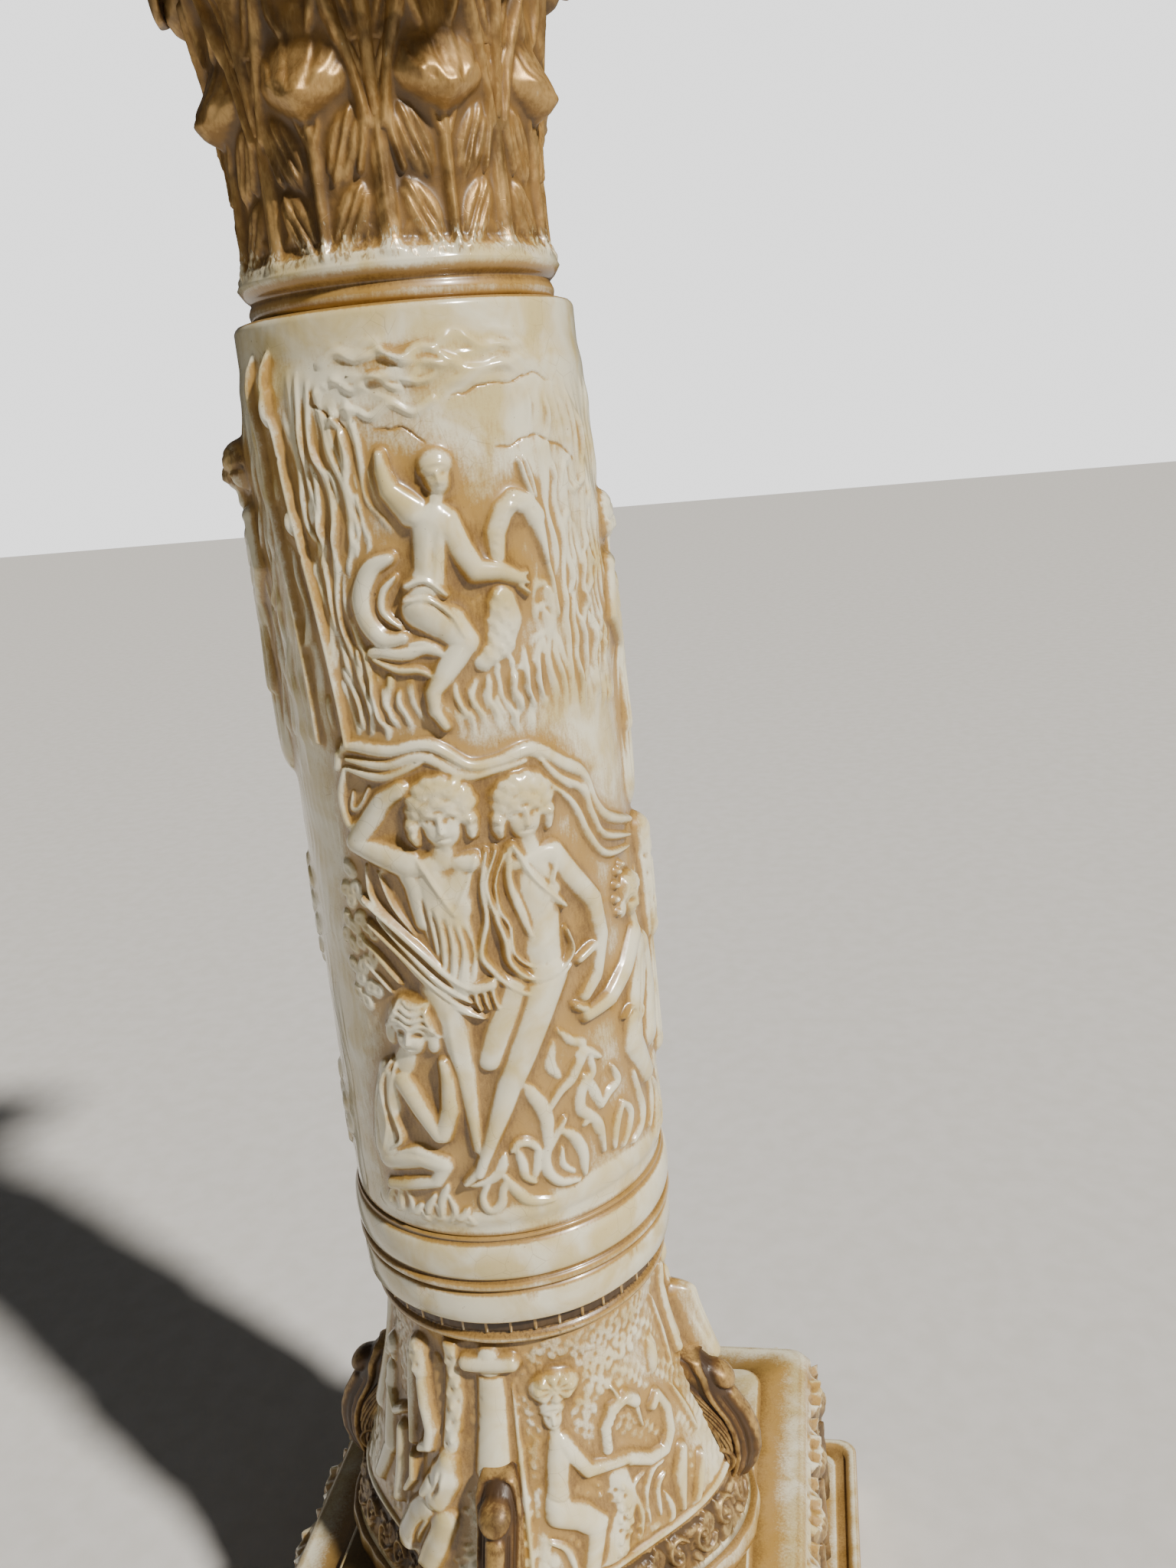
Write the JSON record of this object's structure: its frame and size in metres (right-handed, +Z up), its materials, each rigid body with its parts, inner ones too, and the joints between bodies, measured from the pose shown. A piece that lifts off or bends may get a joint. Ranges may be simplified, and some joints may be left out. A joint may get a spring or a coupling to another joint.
{
  "type": "roman pedestal",
  "caption": "Roman column pedestal in glazed ceramic: round shaft with figures in relief, gilt leafy capital under a flat square top, and a flared carved foot on a square plinth.",
  "frame": {"origin": "centre of the plinth's underside, on the floor", "axes": "+Z up the column; the plinth's sides lie along X and Y, and the front side faces -Y"},
  "size_m": [0.299, 0.299, 0.862],
  "materials": {
    "base_glaze": "glossy antiqued ivory ceramic glaze with tan in the recesses and gilt leaves",
    "shaft_glaze": "glossy antiqued ivory ceramic glaze with tan in the recesses and fine crazing",
    "capital_gilt": "gilt bronze paint over ivory ceramic glaze, dark in the recesses"
  },
  "bodies": {
    "root": {"base": "base_glaze", "shaft": "shaft_glaze", "capital": "capital_gilt"}
  },
  "joints": []
}
